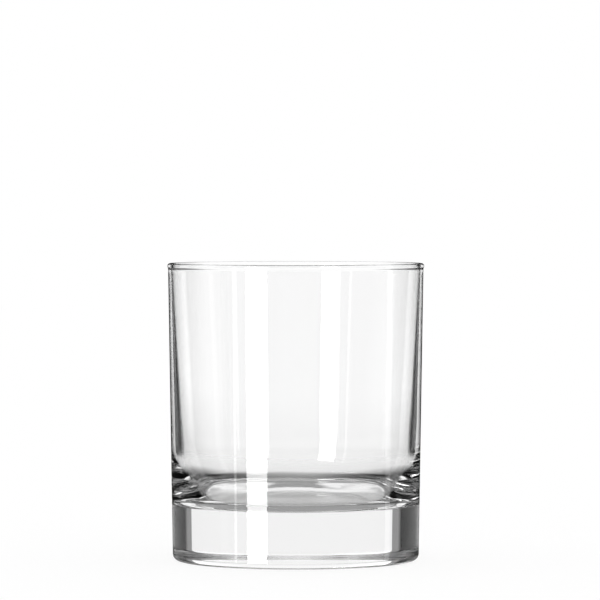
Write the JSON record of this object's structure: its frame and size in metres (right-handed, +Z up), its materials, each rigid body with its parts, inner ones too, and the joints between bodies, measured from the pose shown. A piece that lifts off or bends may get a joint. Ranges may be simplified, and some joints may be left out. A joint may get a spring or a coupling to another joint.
{
  "type": "water glass",
  "caption": "Clear, nearly straight-sided tumbler with a fine rounded rim, a wide open bowl and a heavy solid glass base, for water and other drinks.",
  "frame": {"origin": "centre of the standing ring under the base, at table level", "axes": "+Z up along the axis of the glass, towards the rim; X and Y are any two directions square to it, because the glass is round"},
  "size_m": [0.0824, 0.0824, 0.0953],
  "materials": {
    "clear_glass": "fire-polished clear soda-lime glass, smooth and glossy inside and out"
  },
  "bodies": {
    "root": {"tumbler": "clear_glass"}
  },
  "joints": []
}
